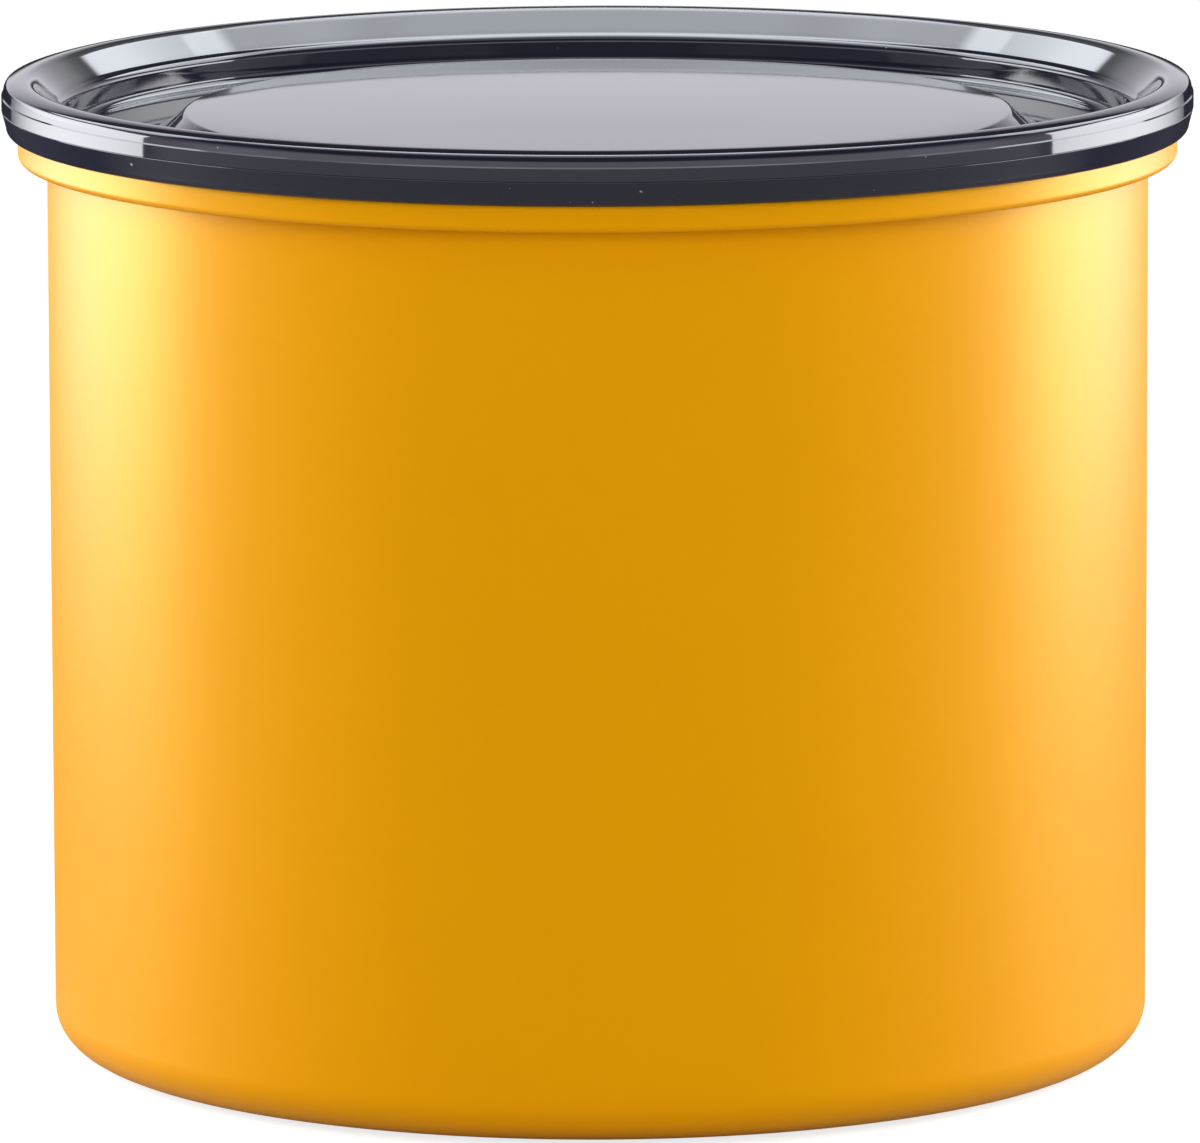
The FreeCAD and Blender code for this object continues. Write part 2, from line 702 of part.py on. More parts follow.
bail = feature("Pad", handle, "bail", bail_sketch, Length="handle_thickness",
               SideType="Symmetric")
doc.recompute()
half_thickness = value("handle_thickness / 2")
long_edges = ["Edge%d" % count for count, edge in enumerate(bail.Shape.Edges, start=1)
              if all(abs(abs(corner.Z) - half_thickness) < 1e-6 for corner in edge.Vertexes)
              and edge.BoundBox.XMax > 1e-6]
rounded = handle.newObject("PartDesign::Fillet", "bail_rounding")
rounded.Base = (bail, long_edges)
rounded.setExpression("Radius", formula("handle_round"))
hub_sketch = circles(handle, "hub_circle", "XZ_Plane", [("cam_throw", "-cam_throw")],
                     "hub_radius")
feature("Pad", handle, "hub", hub_sketch, Length="2 * handle_half - arm_width",
        SideType="Symmetric")
for side, sign in (("left", ""), ("right", "-")):
    eye_sketch = circles(handle, side + "_eye_circle", "XZ_Plane", [("0", "0")], "eye_radius",
                         sign + "(handle_half - arm_width / 2)")
    feature("Pad", handle, side + "_eye", eye_sketch, Length="arm_width", SideType="Symmetric")
for side, sign in (("left", ""), ("right", "-")):
    hole_sketch = circles(handle, side + "_pin_circle", "XZ_Plane", [("0", "0")],
                          "pin_radius + pin_fit",
                          sign + "(handle_half - (pin_reach + pin_end_gap) / 2)")
    cut_down("Pocket", handle, side + "_pin_hole", hole_sketch,
             Length="pin_reach + pin_end_gap", SideType="Symmetric")

# Pins: pressed into the ears, free in the handle

for side, sign, tilt in (("left", "-", -90), ("right", "", 90)):
    length = "ear_thickness + ear_gap + pin_reach"
    pin = turned("hinge_pin_" + side, [
        ("0", "0"),
        ("pin_radius - pin_edge", "0"),
        ("pin_radius", "pin_edge"),
        ("pin_radius", length + " - pin_edge"),
        ("pin_radius - pin_edge", length),
        ("0", length),
    ], "inner_level + pivot_level")
    pin.Placement.Rotation = FreeCAD.Rotation(FreeCAD.Vector(1, 0, 0), tilt)
    pin.setExpression("Placement.Base.x", formula("-cam_throw"))
    pin.setExpression("Placement.Base.y", formula(sign + "ear_outside"))


# Check everything, then write one file for each sub-part

doc.recompute()
NODES = ["canister_body", "base_pad", "outer_lid", "inner_lid_plate", "rim_gasket",
         "valve_cover", "cover_screws", "valve_plunger", "valve_seal", "valve_spring",
         "handle", "hinge_pin_left", "hinge_pin_right"]
for thing in doc.Objects:
    if {"Invalid", "Error"} & set(thing.State):
        raise RuntimeError(thing.Name + " is " + " ".join(thing.State))
parts = {thing.Label: thing for thing in doc.Objects if thing.Label in NODES}
for label in NODES:
    shape = parts[label].Shape
    if shape.isNull() or not shape.isValid() or shape.Volume <= 0:
        raise RuntimeError(label + " has no valid solid")
os.makedirs("parts", exist_ok=True)
for label in NODES:
    shape = parts[label].Shape
    shape.exportStep("parts/%s.step" % label)
    box = shape.BoundBox
    print("%-16s %2d solid %10.1f mm3  x %.2f..%.2f  y %.2f..%.2f  z %.2f..%.2f" % (
        label, len(shape.Solids), shape.Volume, box.XMin, box.XMax, box.YMin, box.YMax,
        box.ZMin, box.ZMax))
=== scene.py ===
# %% [markdown]
# # A coffee canister with a smoke-tinted lid
#
# This lesson dresses the packed model of a round coffee canister. The model is the fixed
# frame: it holds every piece at its real size, in metres, with +Z up and the origin at the
# centre of the base. Two pieces, the shell and the outer lid, are turned again on a finer
# lathe, because their round edges mirror the room and would show as facets. The other pieces
# keep their shape, and every surface gets a finish.

# %% Load the frame
import bpy
import math
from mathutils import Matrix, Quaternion, Vector


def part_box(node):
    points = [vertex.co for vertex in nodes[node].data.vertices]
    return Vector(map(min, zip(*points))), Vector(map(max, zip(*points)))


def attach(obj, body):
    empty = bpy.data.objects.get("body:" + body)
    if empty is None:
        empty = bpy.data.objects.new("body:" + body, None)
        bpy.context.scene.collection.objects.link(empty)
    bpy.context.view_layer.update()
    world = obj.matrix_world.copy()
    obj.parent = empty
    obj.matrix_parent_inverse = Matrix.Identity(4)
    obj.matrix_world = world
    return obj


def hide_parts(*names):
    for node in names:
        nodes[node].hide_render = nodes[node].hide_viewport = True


millimetre = 0.001

bpy.context.scene.view_settings.view_transform = "Standard"
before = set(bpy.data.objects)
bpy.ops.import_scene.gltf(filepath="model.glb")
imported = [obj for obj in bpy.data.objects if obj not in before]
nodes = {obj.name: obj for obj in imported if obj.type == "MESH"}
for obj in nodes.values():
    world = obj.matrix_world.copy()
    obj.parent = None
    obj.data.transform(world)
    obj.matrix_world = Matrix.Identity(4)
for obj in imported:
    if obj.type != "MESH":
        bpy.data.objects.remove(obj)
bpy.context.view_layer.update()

# %% [markdown]
# ## The camera
#
# The photograph was taken from far away with a long lens, a little above the lid, so the
# canister's sides look almost parallel. A camera that is fitted to the lid's ellipse and the
# base's curve stands 1.37 m off and looks down by 9.4 degrees. The canister is a hair left of
# the middle of the picture, so the camera turns a hair to the right.

# %% Camera
picture_width = 1200
camera_distance = 1.36844
camera_height = 0.27796
camera_pitch = math.radians(9.4135)
camera_roll = math.radians(-0.19)
focal_length_in_pixels = 12932.0
picture_offset_in_pixels = 1.0
sensor_width = 36.0

bpy.ops.object.select_all(action="DESELECT")
bpy.ops.object.camera_add(location=(0, -camera_distance, camera_height))
camera = bpy.context.object
camera.name = "Camera"
camera.data.sensor_width = sensor_width
camera.data.lens = sensor_width * focal_length_in_pixels / picture_width
camera.rotation_mode = "QUATERNION"
turn_right = picture_offset_in_pixels / focal_length_in_pixels
looking = Vector((math.sin(turn_right) * math.cos(camera_pitch),
                  math.cos(turn_right) * math.cos(camera_pitch),
                  -math.sin(camera_pitch)))
upright = looking.to_track_quat("-Z", "Y")
camera.rotation_quaternion = upright @ Quaternion((0, 0, 1), camera_roll)
bpy.context.scene.camera = camera
print("Lens", round(camera.data.lens, 1), "mm")

# %% [markdown]
# ## A shorthand for shaders
#
# A finish is a small sum: a colour, plus some noise, times a mask. It could be wired up by
# hand in the shader editor. Written as a Python expression it stays readable, so one class
# wraps an output socket and lets the usual operators add the Math nodes. A second class is
# the finish itself, with one method that adds any other node.

# %% Values of a shader
class Value:
    """A number, colour or shader that comes out of a node."""

    def __init__(self, finish, socket):
        self.finish = finish
        self.socket = socket

    def math(self, operation, *others):
        sockets = dict(enumerate((self,) + others))
        return self.finish.node("ShaderNodeMath", {"operation": operation}, sockets)

    def __add__(self, other):
        return self.math("ADD", other)

    def __sub__(self, other):
        return self.math("SUBTRACT", other)

    def __rsub__(self, other):
        return (self * -1.0) + other

    def __mul__(self, other):
        return self.math("MULTIPLY", other)

    __radd__ = __add__
    __rmul__ = __mul__

    def clamped(self):
        return self.math("MAXIMUM", 0.0).math("MINIMUM", 1.0)


print("Operators:", [name for name in vars(Value) if name.startswith("__r")])

# %% A finish and its nodes
class Finish:
    """A material, world or lamp whose nodes are built from nothing."""

    def __init__(self, owner):
        owner.use_nodes = True
        self.owner = owner
        self.tree = owner.node_tree
        self.tree.nodes.clear()

    def node(self, kind, settings=None, sockets=None, output=0):
        """Adds a node, sets it up, then gives its sockets their values or links. Returns what
        comes out of it, or nothing for the last node, which has no outputs."""
        made = self.tree.nodes.new(kind)
        for setting, wanted in (settings or {}).items():
            setattr(made, setting, wanted)
        for socket, wanted in (sockets or {}).items():
            if isinstance(wanted, Value):
                self.tree.links.new(wanted.socket, made.inputs[socket])
            else:
                made.inputs[socket].default_value = wanted
        return Value(self, made.outputs[output]) if len(made.outputs) else None

    def mix(self, share, first, second):
        """The second colour over the first, by a share from 0 to 1."""
        sockets = {0: share, 6: first, 7: second}
        return self.node("ShaderNodeMix", {"data_type": "RGBA"}, sockets, output=2)

    def noise(self, place, scale, detail=2.0, roughness=0.5):
        sockets = {"Vector": place, "Scale": scale, "Detail": detail, "Roughness": roughness}
        return self.node("ShaderNodeTexNoise", {}, sockets)

    def place(self):
        """Where the point is on the piece, in metres."""
        return self.node("ShaderNodeTexCoord", output="Object")

    def part(self, vector, axis):
        """One of a vector's three numbers: 0, 1 or 2 for X, Y or Z."""
        return self.node("ShaderNodeSeparateXYZ", {}, {"Vector": vector}, output=axis)

    def length(self, vector):
        return self.node("ShaderNodeVectorMath", {"operation": "LENGTH"}, {0: vector}, "Value")

    def ray(self, kind):
        """1 for one kind of ray, such as Is Camera Ray, and 0 for all others."""
        return self.node("ShaderNodeLightPath", output=kind)


def fade(value, start, end):
    """0 at start, 1 at end, and a smooth change between them."""
    sockets = {"Value": value, "From Min": start, "From Max": end}
    return value.finish.node("ShaderNodeMapRange", {"interpolation_type": "SMOOTHSTEP"}, sockets)


print("A finish adds:", [name for name in vars(Finish) if not name.startswith("_")])

# %% Colours and materials
def rgb(red, green, blue):
    return (red, green, blue, 1.0)


def new_material(name, colour):
    """A material whose colour in the viewport is close to its rendered one."""
    material = bpy.data.materials.new(name)
    material.diffuse_color = colour
    return Finish(material)


white = rgb(1, 1, 1)
print("White is", white)

# %% [markdown]
# ## The table
#
# The canister stands on a white sweep that runs on past the picture on all sides. A white
# floor that is lit like the canister would come out pale grey, and more light would bleach
# the canister. So the floor glows a little for the camera only, which lifts it to white and
# keeps the shade beside the base. The floor lies a hair under the base, so the two never
# share a plane.

# %% Floor
floor_reach = 6.0
floor_gap = 0.05 * millimetre

bpy.ops.object.select_all(action="DESELECT")
bpy.ops.mesh.primitive_plane_add(size=floor_reach, location=(0, 0, -floor_gap))
floor = bpy.context.object
floor.name = "Floor"
print("Floor", floor_reach, "m across")

# %% [markdown]
# The lid is a mirror, and it mirrors the floor too. In front of the canister and beside it,
# the mirrored floor is lifted a little, more so further out. Behind the canister the
# photograph's lid mirrors something dark low down, so there the mirrored floor is dark.

# %% The floor's finish
floor_colour = rgb(0.46, 0.46, 0.46)
floor_behind = rgb(0.05, 0.05, 0.06)
camera_lift = 0.76
mirror_lift = 0.38
mirror_near = 0.14
mirror_far = 0.70
behind_start = -0.05
behind_full = 0.10


def sweep():
    finish = new_material("floor_white", floor_colour)
    place = finish.place()
    seen = (finish.ray("Is Camera Ray") + finish.ray("Is Transmission Ray")).clamped()
    mirrored = finish.ray("Is Glossy Ray")
    behind = fade(finish.part(place, 1), behind_start, behind_full)
    mirror_share = fade(finish.length(place), mirror_near, mirror_far) * (1.0 - behind)
    shade = finish.mix(mirrored * behind, floor_colour, floor_behind)
    lift = seen * camera_lift + mirrored * mirror_share * mirror_lift
    lit = finish.node("ShaderNodeBsdfDiffuse", {}, {"Color": shade})
    glow = finish.node("ShaderNodeEmission", {}, {"Color": white, "Strength": lift})
    both = finish.node("ShaderNodeAddShader", {}, {0: lit, 1: glow})
    finish.node("ShaderNodeOutputMaterial", {}, {"Surface": both})
    return finish


floor.data.materials.append(sweep().owner)
print("Floor finish:", floor.data.materials[0].name)

# %% [markdown]
# ## The room
#
# Past the sweep the room is plain white for the camera, and a soft even grey for the light
# that it throws on the canister. Mirrors see a third room, painted by direction, because the
# lid's look is all mirrored softboxes and screens. A direction has three numbers: how high it
# points, how far behind the canister, and how far to a side.

# %% Directions in the room
world = bpy.data.worlds.new("Room")
bpy.context.scene.world = world
room = Finish(world)
heading = room.node("ShaderNodeTexCoord", output="Generated")
height = room.part(heading, 2)
behind = room.part(heading, 1)
sideways = room.part(heading, 0).math("ABSOLUTE")


def climb(start, end):
    """0 at one elevation in degrees and 1 at the other, with a smooth change between."""
    return fade(height, math.sin(math.radians(start)), math.sin(math.radians(end)))


print("World:", world.name)

# %% [markdown]
# Low down is a white band with a faint lilac tint. The camera looks almost level over the lid,
# so the lid's wide middle mirrors this band. It starts just over the floor, loses strength as
# it rises, and is brighter in front of the canister than behind it.

# %% The white band
band_foot = (2.5, 5.5)
band_top = (24, 17)
band_white = 1.28
band_loss = 2.4
in_front = (0.1, -0.3)
front_gain = 1.1

band = climb(*band_top) * (band_white - band_loss * height) * climb(*band_foot)
band = band * (1.0 + front_gain * fade(behind, *in_front))
print("White band from", band_foot[0], "to", band_top[0], "degrees")

# %% [markdown]
# Overhead is a pale blue-grey screen of stretched cloth, weaker at its sides and in front. Two
# brighter ends of it hang down behind the canister's shoulders, and the inner wall of the
# lid's rim mirrors them as a white patch at each side.

# %% The overhead screen
screen_foot = (45, 50)
screen_sides = (0.28, 0.52)
screen_side_loss = 0.55
screen_front = (-0.05, -0.35)
screen_front_loss = 0.65
screen_brightness = 3.6

screen = climb(*screen_foot) * (1.0 - screen_side_loss * fade(sideways, *screen_sides))
screen = screen * (1.0 - screen_front_loss * fade(behind, *screen_front))
print("Screen from", screen_foot[0], "degrees up")

# %% The screen's hanging ends
ends_foot = (22.5, 24)
ends_top = (49, 46.5)
ends_inner_edge = (0.40, 0.43)
ends_behind = (0.10, 0.16)
ends_low_share = 0.6
ends_gain = (20, 34)
ends_brightness = 6.8

ends = climb(*ends_foot) * climb(*ends_top)
ends = ends * fade(sideways, *ends_inner_edge) * fade(behind, *ends_behind)
ends = ends * (ends_low_share + (1 - ends_low_share) * climb(*ends_gain))
print("Ends from", ends_foot[0], "to", ends_top[0], "degrees")

# %% The three rooms
room_light = 0.28
room_dark = 0.04
band_tint = rgb(0.99, 0.965, 1.06)
screen_tint = rgb(0.88, 0.93, 1.0)


def background(colour, strength):
    return room.node("ShaderNodeBackground", {}, {"Color": colour, "Strength": strength})


mirror_strength = band + screen * screen_brightness + ends * ends_brightness + room_dark
mirror_colour = room.mix(screen + ends, band_tint, screen_tint)
seen = (room.ray("Is Camera Ray") + room.ray("Is Transmission Ray")).clamped()
lit_or_mirrored = room.node("ShaderNodeMixShader", {}, {
    0: room.ray("Is Glossy Ray"),
    1: background(white, room_light),
    2: background(mirror_colour, mirror_strength),
})
whole_room = room.node("ShaderNodeMixShader", {}, {
    0: seen,
    1: lit_or_mirrored,
    2: background(white, 1.0),
})
room.node("ShaderNodeOutputWorld", {}, {"Surface": whole_room})
print("Room light", room_light, "and", len(room.tree.nodes), "nodes")

# %% [markdown]
# ## Lamps
#
# A softbox is a rectangular area lamp. Its power is worked out from how bright its face
# looks, so that a larger one is softer and not brighter. A real softbox is uneven, which
# shows in a glossy lid, so a lamp's own nodes can dim a part of its face.

# %% Softboxes
def softbox(name, place, aim, size, radiance, tint=(1, 1, 1)):
    """A rectangular lamp that faces aim. Radiance 1 looks as bright as white paper."""
    bpy.ops.object.select_all(action="DESELECT")
    bpy.ops.object.light_add(type="AREA", location=place)
    lamp = bpy.context.object
    lamp.name = name
    lamp.data.shape = "RECTANGLE"
    lamp.data.size, lamp.data.size_y = size
    lamp.data.energy = radiance * math.pi * size[0] * size[1]
    lamp.data.color = tint
    lamp.rotation_mode = "QUATERNION"
    lamp.rotation_quaternion = (Vector(place) - Vector(aim)).to_track_quat("Z", "Y")
    lamp.visible_camera = False
    return lamp


def dimmed(lamp, share_at):
    """Makes a lamp's brightness follow the place on its face: across it and up it, 0 to 1."""
    glow = Finish(lamp.data)
    face = glow.node("ShaderNodeNewGeometry", output="Parametric")
    share = share_at(glow.part(face, 0), glow.part(face, 1))
    lit_face = glow.node("ShaderNodeEmission", {}, {"Strength": share})
    glow.node("ShaderNodeOutputLight", {}, {"Surface": lit_face})


print("Softboxes ready")

# %% [markdown]
# Two strips stand on the sweep, left and right, and run from beside the canister to behind
# it. They pale the two sides of the coat and draw the crisp bright bars on the lid's rim.
# Each is bright at the end beside the canister and fades towards the other. The left one is
# a little brighter than the right one.

# %% Strips
strip_near = Vector((0.533, 0.022, 0))
strip_far = Vector((0.286, 0.502, 0))
strip_height = 0.23
strip_clearance = 0.002
strip_far_share = 0.03
strip_tint = (0.96, 0.97, 1.0)
# side, its sign along X, radiance, and where on the face it is dimmest and brightest
strips = (("left", -1, 11.04, -0.05, 0.95),
          ("right", 1, 10.32, 1.05, 0.05))

strip_width = (strip_far - strip_near).length
strip_middle = (strip_near + strip_far) / 2
strip_level = strip_height / 2 + strip_clearance
for side, sign, radiance, dim_end, bright_end in strips:
    place = Vector((sign * strip_middle.x, strip_middle.y, strip_level))
    run = Vector((sign * (strip_far.x - strip_near.x), strip_far.y - strip_near.y, 0))
    inwards = Vector((-sign * run.y, sign * run.x, 0))
    if inwards.dot(place) > 0:
        inwards = -inwards
    strip = softbox("Strip_" + side, place, place + inwards, (strip_width, strip_height),
                    radiance, strip_tint)
    dimmed(strip, lambda across, up: strip_far_share
           + (1 - strip_far_share) * fade(across, dim_end, bright_end))
print("Strips", round(strip_width, 3), "m wide")

# %% [markdown]
# A wide box hangs over the lid. The far inner slope of the rim leans back enough to mirror it
# as a pale stretch that is strongest in the middle. It is only mirrored and throws no diffuse
# light, so it can be as bright as that stretch needs without paling the coat.

# %% Overhead box
overhead_centre = (0, 0.205)
overhead_level = 0.56
overhead_size = (0.80, 0.36)
overhead_radiance = 4.2
overhead_tint = (0.88, 0.93, 1.0)
overhead_side_loss = 3.6
overhead_far_share = 0.75
overhead_near_gain = 0.6
overhead_change = (0.8, 0.6)


def overhead_share(across, up):
    off_middle = across - 0.5
    along = overhead_far_share + overhead_near_gain * fade(up, *overhead_change)
    return (1.0 - overhead_side_loss * off_middle * off_middle) * along


overhead = softbox("Overhead", overhead_centre + (overhead_level,), overhead_centre + (0.0,),
                   overhead_size, overhead_radiance, overhead_tint)
dimmed(overhead, overhead_share)
overhead.visible_diffuse = False
print("Overhead box", overhead_size, "m")

# %% [markdown]
# Broad lamps in front and at both sides give the even light. The photograph's lid shows no
# trace of them, so nothing mirrors them here.

# %% Even light
even_aim = (0, 0, 0.05)
even = [
    softbox("Fill", (0, -1.8, 0.65), even_aim, (2.2, 1.1), 2.35),
    softbox("Wing_left", (-1.1, 0.0, 0.7), even_aim, (1.0, 0.8), 2.7),
    softbox("Wing_right", (1.1, 0.0, 0.7), even_aim, (1.0, 0.8), 2.7),
]
for lamp in even:
    lamp.visible_glossy = False

# %% [markdown]
# ## Finishes
#
# Each finish starts from its place on the piece in metres, so a grain of 0.4 mm is a noise
# of scale 2500. What varies over the surface goes to the colour, the roughness and the bump.
# What is the same all over is set straight on the shader.

# %% A surface with a grain
def surface(finish, colour, roughness, height, depth, plain=None):
    """Joins colour, roughness and a bump of a real depth in metres to the finish."""
    bump = finish.node("ShaderNodeBump", {}, {"Strength": 1.0, "Distance": depth,
                                              "Height": height})
    sockets = {"Base Color": colour, "Roughness": roughness, "Normal": bump}
    sockets.update(plain or {})
    shader = finish.node("ShaderNodeBsdfPrincipled", {}, sockets)
    finish.node("ShaderNodeOutputMaterial", {}, {"Surface": shader})
    return finish


print("Surfaces ready")

# %% [markdown]
# ### Powder coat
#
# The shell's coat is a baked powder: even in colour, matte, with a fine grain and the slow
# waves that the powder leaves when it flows. Three noises of different size give the grain,
# the waves and a faint cloud in the colour. The highlights are tinted yellow, because the
# coat's own pigment shows through its skin.

# %% Powder coat
coat_deep = rgb(0.80, 0.315, 0.0)
coat_light = rgb(0.83, 0.333, 0.0)
coat_fleck = rgb(0.86, 0.38, 0.02)
coat_grain_scale = 2600
coat_wave_scale = 420
coat_cloud_scale = 45
coat_flecks = (0.62, 0.80)
coat_fleck_share = 0.25
coat_bump = 0.006 * millimetre
coat_plain = {"IOR": 1.65, "Specular Tint": rgb(1.0, 0.95, 0.05)}


def powder_coat():
    finish = new_material("powder_coat", coat_deep)
    place = finish.place()
    grain = finish.noise(place, coat_grain_scale, detail=3.0)
    wave = finish.noise(place, coat_wave_scale)
    cloud = finish.noise(place, coat_cloud_scale)
    flecks = fade(grain, *coat_flecks) * coat_fleck_share
    colour = finish.mix(cloud, coat_deep, coat_light)
    colour = finish.mix(flecks, colour, coat_fleck)
    roughness = 0.32 + 0.08 * grain + 0.04 * wave
    return surface(finish, colour, roughness, grain + 1.5 * wave, coat_bump, coat_plain)


body_coat = powder_coat()
print(body_coat.owner.name, len(body_coat.tree.nodes), "nodes")

# %% [markdown]
# ### Brushed steel
#
# The bare steel inside the shell is brushed round and round as it turns on the lathe, so its
# marks are long across and very thin from top to bottom. Stretched noise gives such marks.
# The screws, pins and spring are too small for a direction, so theirs are even.

# %% Brushed steel
steel_dark = rgb(0.60, 0.59, 0.57)
steel_light = rgb(0.76, 0.75, 0.73)
steel_haze_scale = 70
steel_bump = 0.004 * millimetre


def brushed_steel(name, across, along):
    """Bare steel with marks of one scale across the axis and another along it."""
    finish = new_material(name, rgb(0.68, 0.67, 0.65))
    stretched = finish.node("ShaderNodeMapping", {}, {"Vector": finish.place(),
                                                      "Scale": (across, across, along)})
    marks = finish.noise(stretched, 1.0, detail=4.0, roughness=0.65)
    haze = finish.noise(finish.place(), steel_haze_scale)
    colour = finish.mix(marks, steel_dark, steel_light)
    roughness = 0.36 + 0.12 * marks + 0.08 * haze
    return surface(finish, colour, roughness, marks, steel_bump, {"Metallic": 1.0})


inside_steel = brushed_steel("inside_steel", 60.0, 5200.0)
small_steel = brushed_steel("small_part_steel", 900.0, 900.0)
print(inside_steel.owner.name, "and", small_steel.owner.name)

# %% [markdown]
# ### Smoke plastic
#
# The lid is moulded in a dark smoke tint with a polished skin. It is thick enough to look
# almost black, so it is made opaque. The thin inner wall of its rim gets a lighter colour,
# painted light that stands in for the light coming through that wall. A few specks of dust lie on
# it.

# %% Smoke plastic
smoke_deep = rgb(0.010, 0.011, 0.021)
smoke_light = rgb(0.014, 0.015, 0.028)
# painted light: the lighter colour of the rim's inner wall, for light coming through it
smoke_painted_backlight = rgb(0.075, 0.081, 0.085)
smoke_cloud_scale = 30
smoke_haze_scale = 350
dust_colour = rgb(0.55, 0.55, 0.55)
dust_scale = 1500
dust_edge = (0.80, 0.84)
dust_share = 0.5
# where the painted light on the rim's inner wall starts and ends, in metres
backlight_inner_edge = (0.0573, 0.0582)
backlight_outer_edge = (0.0608, 0.0600)
backlight_foot = (0.1010, 0.1020)
smoke_bump = 0.002 * millimetre


def smoke_plastic():
    finish = new_material("smoke_plastic", smoke_light)
    place = finish.place()
    cloud = finish.noise(place, smoke_cloud_scale)
    haze = finish.noise(place, smoke_haze_scale, detail=3.0)
    dust = fade(finish.noise(place, dust_scale, detail=1.0), *dust_edge)
    flat = finish.node("ShaderNodeVectorMath", {"operation": "MULTIPLY"}, {0: place, 1: (1, 1, 0)})
    from_axis = finish.length(flat)
    # Painted light: a lighter band on the rim's thin inner wall stands in for light coming through
    # it.
    painted_backlight = fade(from_axis, *backlight_inner_edge) * fade(from_axis, *backlight_outer_edge)
    painted_backlight = painted_backlight * fade(finish.part(place, 2), *backlight_foot)
    colour = finish.mix(cloud, smoke_deep, smoke_light)
    colour = finish.mix(painted_backlight, colour, smoke_painted_backlight)
    colour = finish.mix(dust * dust_share, colour, dust_colour)
    roughness = 0.035 + 0.03 * haze + 0.3 * dust
    return surface(finish, colour, roughness, cloud, smoke_bump, {"IOR": 1.5})


smoke_lid = smoke_plastic()
print(smoke_lid.owner.name, len(smoke_lid.tree.nodes), "nodes")

# %% [markdown]
# ### Moulded plastics, silicone and rubber
#
# The inner lid's parts come out of moulds with a fine spark texture. They differ in colour,
# gloss and grain, so one function makes them all: a grain that is felt as a bump, and a faint
# cloud that keeps a large face from looking flat.

# %% Moulded finishes
mould_cloud_scale = 80
cloud_share = 0.7
gloss_change = 0.10


def moulded(name, dark, light, roughness, grain_scale, depth):
    """A moulded finish: fine spark texture, faint clouds and slightly uneven gloss."""
    finish = new_material(name, light)
    place = finish.place()
    grain = finish.noise(place, grain_scale, detail=3.0)
    cloud = finish.noise(place, mould_cloud_scale)
    colour = finish.mix(cloud * cloud_share + grain * (1 - cloud_share), dark, light)
    uneven = roughness + gloss_change * (grain - 0.5)
    return surface(finish, colour, uneven, grain, depth * millimetre)


plate_plastic = moulded("plate_plastic", rgb(0.055, 0.056, 0.060), rgb(0.085, 0.086, 0.092),
                        roughness=0.46, grain_scale=3200, depth=0.012)
bail_plastic = moulded("bail_plastic", rgb(0.085, 0.086, 0.090), rgb(0.115, 0.116, 0.120),
                       roughness=0.38, grain_scale=3600, depth=0.008)
plunger_plastic = moulded("plunger_plastic", rgb(0.70, 0.70, 0.69), rgb(0.78, 0.78, 0.77),
                          roughness=0.30, grain_scale=2500, depth=0.005)
silicone = moulded("silicone", rgb(0.26, 0.27, 0.28), rgb(0.34, 0.35, 0.36),
                   roughness=0.55, grain_scale=1800, depth=0.010)
rubber = moulded("rubber", rgb(0.035, 0.035, 0.037), rgb(0.060, 0.060, 0.062),
                 roughness=0.70, grain_scale=1500, depth=0.030)
print("Moulded:", [item.owner.name for item in (plate_plastic, bail_plastic, plunger_plastic,
                                                silicone, rubber)])

# %% [markdown]
# ## A lathe
#
# The shell and the outer lid are turned shapes. By hand one would draw half of the section
# and use Spin. The helper does the same: a plane is collapsed to one point, the point is
# extruded along the section, and Spin sweeps it once round the axis. The section is a list of
# corners in millimetres, and a corner with a radius is reached by an arc, so the script holds
# only the points that the shape needs.

# %% Arcs and sections
arc_step = math.radians(9)
flat_hold = 0.15


def arc(start, end, radius, turn):
    """Points from start to end on an arc that turns left (+1) or right (-1)."""
    chord = Vector(end) - Vector(start)
    half = math.asin(min(1.0, chord.length / 2 / radius))
    middle = (Vector(start) + Vector(end)) / 2
    inwards = Vector((-chord.y, chord.x)).normalized() * turn
    centre = middle + inwards * radius * math.cos(half)
    steps = max(2, math.ceil(2 * half / arc_step))
    first = Vector(start) - centre
    points = []
    for step in range(1, steps + 1):
        angle = turn * 2 * half * step / steps
        points.append(centre + Vector((first.x * math.cos(angle) - first.y * math.sin(angle),
                                       first.x * math.sin(angle) + first.y * math.cos(angle))))
    return points


def section(corners):
    """The points of a section, in metres, from its corners in millimetres. A straight stretch
    gets a point close to each end, which keeps its shading flat."""
    points = [Vector(corners[0][:2])]
    for corner in corners[1:]:
        here, there = points[-1], Vector(corner[:2])
        if len(corner) == 4:
            points += arc(here, there, corner[2], corner[3])
            continue
        run = there - here
        if run.length > 4 * flat_hold:
            points += [here + run.normalized() * flat_hold, there - run.normalized() * flat_hold]
        points.append(there)
    return [point * millimetre for point in points]


quarter = arc((1, 0), (0, 1), 1, 1)
print("A quarter turn takes", len(quarter), "points")

# %% Lathe
steps_round = 256
same_point = 0.002 * millimetre


